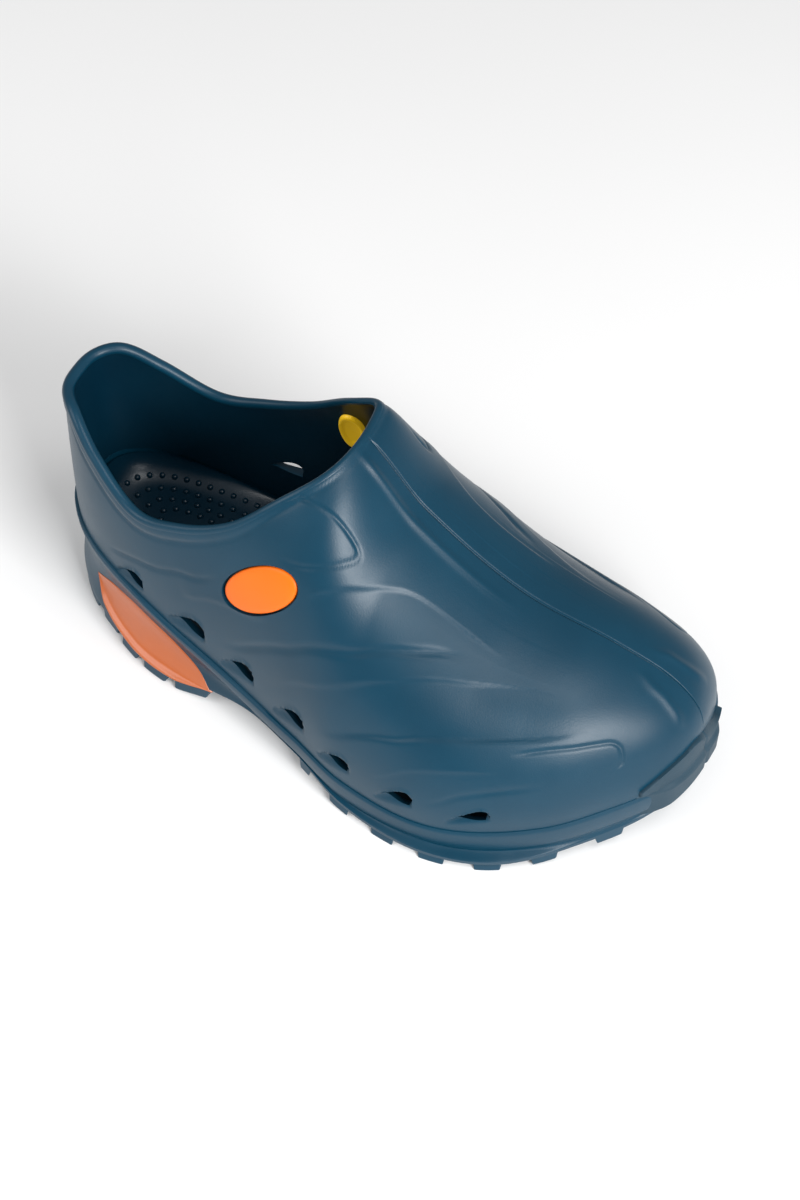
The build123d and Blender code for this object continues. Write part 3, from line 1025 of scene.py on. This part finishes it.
# ---- plugs and plates
# Profiles from the middle out: share of the oval's radius, height over the shell's face.
PLUG_PROFILE = [
    (0.01, 0.55), (0.3, 0.5), (0.6, 0.36), (0.8, 0.18), (0.9, 0.02), (0.95, -0.25), (0.975, -0.7),
    (0.98, -2.0),
]
# The plate's heights are over the wall's inner face, into the shoe.
PLATE_PROFILE = [
    (0.01, 0.7), (0.6, 0.65), (0.68, 0.75), (0.74, 1.15), (0.80, 1.2), (0.9, 1.3), (0.97, 1.0),
    (1.0, 0.5), (1.0, -0.3),
]
# The oval of each plate. The lateral one is a smaller copy of the plug's.
PLATE_OVALS = {
    "lateral": PLUG_OVAL * [[1], [0.8], [0.8]],
    "medial": np.array([(-27.5, 0.452), (1.5, 0.112), (4.7, -0.008)]),
}


def oval_solid(name, side, oval, profile, samples, material):
    """A solid turned over an oval on the shell, its profile measured along the middle's normal."""
    _, normal = shell_normal(*oval[0], side)
    rings = []
    for radius, height in profile:
        outline = oval_outline(oval, radius, samples)
        rings.append(shell(angle_at(outline[:, 0]), outline[:, 1], side) + normal * height)
    index = np.arange(len(rings) * samples).reshape(len(rings), samples)
    faces = grid_quads(np.concatenate([index, index[:, :1]], 1)).tolist()
    faces += [index[0].tolist(), index[-1].tolist()]
    return add_mesh(name, np.concatenate(rings), faces, material, weld=0)


def build_plug(name, side):
    """The oval plug: a low dome in its pocket."""
    return oval_solid(name, side, PLUG_OVAL, PLUG_PROFILE, 96, PLUG_ORANGE)


def build_plate(name, side, oval):
    """The amber retainer behind a plug: a thin oval with a raised rim, on the wall's inside."""
    profile = [(radius, -(WALL + height)) for radius, height in PLATE_PROFILE]
    return oval_solid(name, side, oval, profile, 64, AMBER)


# ---- insole
INSOLE_EDGE = -6.0       # from the band line's outline; clear of the wall when the insole lifts
INSOLE_GAP = 0.3         # under the insole
INSOLE_TOP = 4.9         # its upper face stands this far over the footbed
HEEL_PAD = 5.5           # the heel of the insole is this much thicker than the rest
CUP_RADIUS = 12.0
CUP_INSET = 13.0         # the flat begins this far in from the rim
NUB_ROWS = 4
NUB_FIRST = 5.6          # distance of the first row from the rim
NUB_PITCH = 4.8
NUB_ROW = 6.2
NUB_SIDES = 12
# From a nub's root to its top: radius, height over the insole.
NUB_PROFILE = [(1.3, -0.8), (1.25, 0.3), (1.0, 0.8), (0.6, 1.1), (0.2, 1.2)]


def insole_top(x, angle, inset):
    """Height of the insole's upper face, inset millimetres in from its edge."""
    flat = blend(FOOTBED, x) + INSOLE_TOP + HEEL_PAD * (1 - step(-78, -30, x))
    curl = np.clip((CUP_RADIUS - inset) / CUP_RADIUS, 0, 1)
    cup = 1 - np.sqrt(1 - curl**2 * 0.995)
    return flat + np.maximum(seam(angle) - 0.6 - flat, 0.3) * cup


def build_insole():
    """The loose insole: a shallow cup with rows of nubs under the heel."""
    def base(x, angles):
        return blend(FOOTBED, x) + INSOLE_GAP

    rings = [sole_ring(INSOLE_EDGE - 0.6, base, scale) for scale in (0.02, 0.5, 0.9, 1.0)]
    rings.append(sole_ring(INSOLE_EDGE, lambda x, a: base(x, a) + 0.6))
    insets = np.concatenate([np.linspace(0, 1, 4)[:-1] ** 1.5, np.linspace(1, CUP_INSET, 22)])
    for inset in insets:
        rings.append(sole_ring(INSOLE_EDGE - inset, lambda x, a, i=inset: insole_top(x, a, i)))
    for scale in np.linspace(0.92, 0.02, 12):
        rings.append(sole_ring(INSOLE_EDGE - CUP_INSET, lambda x, a: insole_top(x, a, CUP_INSET), scale))
    points, faces = closed_rings(rings)
    points, number = [points], len(points)
    for x, y, inset in nub_places():
        dome, dome_faces = nub(x, y, float(insole_top(x, angle_at(x), inset)))
        faces += [[number + v for v in face] for face in dome_faces]
        points.append(dome)
        number += len(dome)
    # Painted shade: the insole takes the darker navy of the inside.
    return add_mesh("insole_pad", np.concatenate(points), faces, NAVY_PAINTED_SHADE, weld=0)


def nub_places():
    """Nubs in rows that follow the heel's outline, each row further in."""
    places = []
    for row in range(NUB_ROWS):
        inset = NUB_FIRST + NUB_ROW * row
        angles = np.linspace(118, 180, 400)
        halves = [sole_edge(angles, side, INSOLE_EDGE - inset) for side in (-1, 1)]
        path = np.concatenate([halves[0], halves[1][:-1][::-1]])
        run = np.concatenate([[0], np.cumsum(np.linalg.norm(np.diff(path, axis=0), axis=1))])
        count = int(run[-1] / NUB_PITCH)
        for at in (np.arange(count) + 0.5) * run[-1] / count:
            places.append((np.interp(at, run, path[:, 0]), np.interp(at, run, path[:, 1]), inset))
    return places


def nub(x, y, z):
    """A small closed dome."""
    points, faces = [], []
    for radius, height in NUB_PROFILE:
        for k in range(NUB_SIDES):
            turn = 2 * math.pi * k / NUB_SIDES
            points.append((x + radius * math.cos(turn), y + radius * math.sin(turn), z + height))
    for start in range(0, len(points) - NUB_SIDES, NUB_SIDES):
        for k in range(NUB_SIDES):
            a, b = start + k, start + (k + 1) % NUB_SIDES
            faces.append([a, b, b + NUB_SIDES, a + NUB_SIDES])
    faces += [list(range(NUB_SIDES))[::-1], list(range(len(points) - NUB_SIDES, len(points)))]
    return np.array(points), faces


# ---- put together
def place(piece, body, slot, node):
    """Puts a piece under its body's empty and hides the CAD node it stands for. The slot argument is not
    used.
    """
    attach(piece, body)
    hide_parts(node)


place(build_upper(), "clog", "upper_rubber", "upper_shell")
place(build_sole(), "clog", "upper_rubber", "sole_unit")
place(build_guard(), "clog", "guard_rubber", "toe_bumper")
heel_lugs = build_tread("heel_lugs", HEEL_LUGS, slant=-0.12, bevel=2.0, kick=1.3, pad_ends=(-124.5, -48))
place(heel_lugs, "clog", "tread_rubber", "heel_tread")
fore_lugs = build_tread("forefoot_lugs", FORE_LUGS, slant=0.2, bevel=0.7, kick=0.2, pad_ends=(0, 124.5))
place(fore_lugs, "clog", "tread_rubber", "forefoot_tread")
for word, side in (("lateral", -1), ("medial", 1)):
    place(build_insert("heel_lens_" + word, side), "clog", "orange_rubber", "heel_insert_" + word)
    place(build_plug("oval_plug_" + word, side), "clog", "orange_plastic", "badge_" + word)
    plate = build_plate("amber_plate_" + word, side, PLATE_OVALS[word])
    place(plate, "clog", "amber_plastic", "badge_backplate_" + word)
insole = build_insole()
place(insole, "insole", "insole_foam", "insole")


# ---- floor, light, camera
VIEW_AZIMUTH = 27.0
VIEW_ELEVATION = 53.0
VIEW_DISTANCE = 0.847
VIEW_TARGET = (np.array([0, 0, 47.6]) + SHIFT) * 0.001
VIEW_SHIFT = (0.0124, -0.0141)
LENS = 70.2
SENSOR_HEIGHT = 36.0
FLOOR_SIZE = 6.0         # metres from the middle to each edge
LIGHT_TARGET = (0, 0, 0.05)
WORLD_STRENGTH = 0.36


def direction(azimuth, elevation):
    """Unit vector towards a place; azimuth 0 is the lateral side and 90 the toe."""
    a, e = math.radians(azimuth), math.radians(elevation)
    return np.array([math.sin(a) * math.cos(e), -math.cos(a) * math.cos(e), math.sin(e)])


def aim(thing, place, target):
    thing.location = place
    forward = Vector(tuple(np.array(target) - np.array(place)))
    thing.rotation_euler = forward.to_track_quat("-Z", "Y").to_euler()


def add_floor():
    material, tree, shader = new_material("floor_paint", 0.9)
    tones = two_tones(tree, noise(tree, FLOOR_CLOUD_MM, 2.0), (0.86, 0.86, 0.86), (0.88, 0.88, 0.88))
    tree.links.new(tones, shader.inputs["Base Color"])
    shader.inputs["Specular IOR Level"].default_value = 0.1
    mesh = bpy.data.meshes.new("floor")
    corners = [(FLOOR_SIZE * x, FLOOR_SIZE * y, 0) for x, y in ((-1, -1), (1, -1), (1, 1), (-1, 1))]
    mesh.from_pydata(corners, [], [(0, 1, 2, 3)])
    mesh.materials.append(material)
    floor = bpy.data.objects.new("floor", mesh)
    bpy.context.collection.objects.link(floor)


def add_light(name, azimuth, elevation, distance, size, power):
    """A white soft box that looks at the clog's middle."""
    lamp = bpy.data.lights.new(name, "AREA")
    lamp.shape = "RECTANGLE"
    lamp.size, lamp.size_y = size
    lamp.energy = power
    light = bpy.data.objects.new(name, lamp)
    bpy.context.collection.objects.link(light)
    place_at = np.array(LIGHT_TARGET) + direction(azimuth, elevation) * distance
    aim(light, place_at, LIGHT_TARGET)


def add_camera():
    lens = bpy.data.cameras.new("camera")
    lens.sensor_fit = "VERTICAL"
    lens.sensor_height = SENSOR_HEIGHT
    lens.lens = LENS
    lens.shift_x, lens.shift_y = VIEW_SHIFT
    lens.clip_start = 0.01
    camera = bpy.data.objects.new("camera", lens)
    bpy.context.collection.objects.link(camera)
    view = direction(VIEW_AZIMUTH, VIEW_ELEVATION)
    aim(camera, VIEW_TARGET + view * VIEW_DISTANCE, VIEW_TARGET)
    bpy.context.scene.camera = camera


def add_world():
    world = bpy.data.worlds.new("studio")
    world.use_nodes = True
    background = world.node_tree.nodes["Background"]
    background.inputs["Color"].default_value = (1, 1, 1, 1)
    background.inputs["Strength"].default_value = WORLD_STRENGTH
    bpy.context.scene.world = world


add_floor()
add_world()
add_light("key", 60, 31, 1.3, (0.6, 0.45), 19)
add_light("overhead", 75, 66, 1.6, (0.6, 0.6), 6)
add_light("side", -50, 38, 1.5, (0.9, 0.9), 8)
add_camera()
bpy.context.scene.view_settings.view_transform = "Standard"
